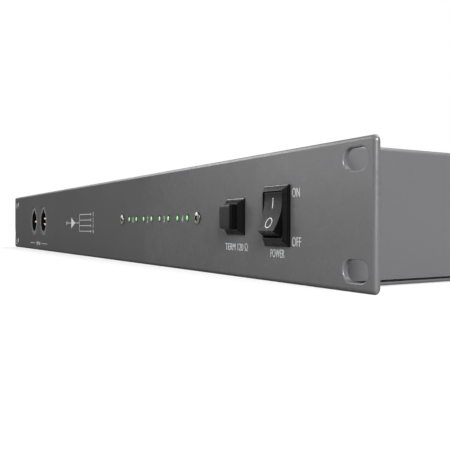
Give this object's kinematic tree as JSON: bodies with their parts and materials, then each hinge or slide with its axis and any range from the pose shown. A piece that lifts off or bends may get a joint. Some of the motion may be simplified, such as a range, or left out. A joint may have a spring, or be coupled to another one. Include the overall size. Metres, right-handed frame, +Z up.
{
  "type": "lighting data splitter",
  "caption": "Rack-mount lighting data splitter: dark panel with round inputs, green lamps, push button and rocker switch on a grey folded case, output sockets and fused inlet behind",
  "frame": {"origin": "middle of the whole object's outline seen from above, on the surface that it stands on", "axes": "+X to the right seen from the front along the panel, +Y from the panel into the case, +Z up"},
  "size_m": [0.4826, 0.1608, 0.044],
  "materials": {
    "panel_paint": "satin powder coat",
    "case_paint": "satin powder coat",
    "zinc_steel": "zinc plated",
    "nickel_plate": "bright nickel",
    "black_plastic": "fine moulded texture",
    "socket_plastic": "moulded",
    "green_lamp": "clear tinted",
    "circuit_board": "solder mask",
    "gold_plate": "bright",
    "fuse_glass": "clear",
    "core_steel": "varnished",
    "lead_sleeve": "matt",
    "ribbon_grey": "matt"
  },
  "bodies": {
    "root": {"front_panel": "panel_paint", "base_tray": "case_paint", "top_cover": "case_paint", "cover_screw_1": "zinc_steel", "cover_screw_2": "zinc_steel", "cover_screw_3": "zinc_steel", "cover_screw_4": "zinc_steel", "panel_nut_1": "zinc_steel", "panel_nut_2": "zinc_steel", "rocker_housing": "black_plastic", "button_housing": "black_plastic", "lamp_1": "green_lamp", "lamp_2": "green_lamp", "lamp_3": "green_lamp", "lamp_4": "green_lamp", "lamp_5": "green_lamp", "lamp_6": "green_lamp", "lamp_7": "green_lamp", "lamp_8": "green_lamp", "lamp_board": "circuit_board", "lamp_board_screw_1": "nickel_plate", "lamp_board_screw_2": "nickel_plate", "input_housing_3pin": "socket_plastic", "input_contacts_3pin": "gold_plate", "input_housing_5pin": "socket_plastic", "input_contacts_5pin": "gold_plate", "input_board": "circuit_board", "output_1_socket_3pin": "socket_plastic", "output_2_socket_3pin": "socket_plastic", "output_3_socket_3pin": "socket_plastic", "output_4_socket_3pin": "socket_plastic", "output_1_socket_5pin": "socket_plastic", "output_2_socket_5pin": "socket_plastic", "output_3_socket_5pin": "socket_plastic", "output_4_socket_5pin": "socket_plastic", "inlet_housing": "black_plastic", "inlet_blade_neutral": "nickel_plate", "inlet_blade_earth": "nickel_plate", "inlet_blade_live": "nickel_plate", "splitter_board": "circuit_board", "supply_board": "circuit_board", "transformer": "core_steel", "mains_lead": "lead_sleeve", "supply_lead": "lead_sleeve", "low_voltage_lead": "lead_sleeve", "lamp_ribbon": "ribbon_grey", "input_ribbon": "ribbon_grey"},
    "rocker": {"rocker_paddle": "black_plastic"},
    "button": {"button_cap": "black_plastic"},
    "output_1_release_3pin": {"output_1_release_3pin": "nickel_plate"},
    "output_2_release_3pin": {"output_2_release_3pin": "nickel_plate"},
    "output_3_release_3pin": {"output_3_release_3pin": "nickel_plate"},
    "output_4_release_3pin": {"output_4_release_3pin": "nickel_plate"},
    "output_1_release_5pin": {"output_1_release_5pin": "nickel_plate"},
    "output_2_release_5pin": {"output_2_release_5pin": "nickel_plate"},
    "output_3_release_5pin": {"output_3_release_5pin": "nickel_plate"},
    "output_4_release_5pin": {"output_4_release_5pin": "nickel_plate"},
    "fuse_carrier": {"fuse_drawer": "black_plastic", "fuse_link": "fuse_glass"}
  },
  "joints": [
    {"name": "rocker_hinge", "type": "hinge", "parent": "root", "child": "rocker", "pos_m": [0.1928, -0.07495, 0.0227], "axis": [1, 0, 0], "range_deg": [0, 26]},
    {"name": "button_slide", "type": "slide", "parent": "root", "child": "button", "axis": [0, 1, 0], "range_m": [0, 0.0035], "stiffness_N_per_m": 400, "springref_m": -0.001},
    {"name": "fuse_drawer_slide", "type": "slide", "parent": "root", "child": "fuse_carrier", "axis": [0, 1, 0], "range_m": [0, 0.014]},
    {"name": "output_1_release_3pin_hinge", "type": "hinge", "parent": "root", "child": "output_1_release_3pin", "pos_m": [-0.196, 0.07885, 0.0359], "axis": [1, 0, 0], "range_deg": [-8, 0], "stiffness_Nm_per_rad": 0.02, "springref_deg": 5.73},
    {"name": "output_2_release_3pin_hinge", "type": "hinge", "parent": "root", "child": "output_2_release_3pin", "pos_m": [-0.104, 0.07885, 0.0359], "axis": [1, 0, 0], "range_deg": [-8, 0], "stiffness_Nm_per_rad": 0.02, "springref_deg": 5.73},
    {"name": "output_3_release_3pin_hinge", "type": "hinge", "parent": "root", "child": "output_3_release_3pin", "pos_m": [-0.012, 0.07885, 0.0359], "axis": [1, 0, 0], "range_deg": [-8, 0], "stiffness_Nm_per_rad": 0.02, "springref_deg": 5.73},
    {"name": "output_4_release_3pin_hinge", "type": "hinge", "parent": "root", "child": "output_4_release_3pin", "pos_m": [0.08, 0.07885, 0.0359], "axis": [1, 0, 0], "range_deg": [-8, 0], "stiffness_Nm_per_rad": 0.02, "springref_deg": 5.73},
    {"name": "output_1_release_5pin_hinge", "type": "hinge", "parent": "root", "child": "output_1_release_5pin", "pos_m": [-0.158, 0.07885, 0.0359], "axis": [1, 0, 0], "range_deg": [-8, 0], "stiffness_Nm_per_rad": 0.02, "springref_deg": 5.73},
    {"name": "output_2_release_5pin_hinge", "type": "hinge", "parent": "root", "child": "output_2_release_5pin", "pos_m": [-0.066, 0.07885, 0.0359], "axis": [1, 0, 0], "range_deg": [-8, 0], "stiffness_Nm_per_rad": 0.02, "springref_deg": 5.73},
    {"name": "output_3_release_5pin_hinge", "type": "hinge", "parent": "root", "child": "output_3_release_5pin", "pos_m": [0.026, 0.07885, 0.0359], "axis": [1, 0, 0], "range_deg": [-8, 0], "stiffness_Nm_per_rad": 0.02, "springref_deg": 5.73},
    {"name": "output_4_release_5pin_hinge", "type": "hinge", "parent": "root", "child": "output_4_release_5pin", "pos_m": [0.118, 0.07885, 0.0359], "axis": [1, 0, 0], "range_deg": [-8, 0], "stiffness_Nm_per_rad": 0.02, "springref_deg": 5.73}
  ]
}
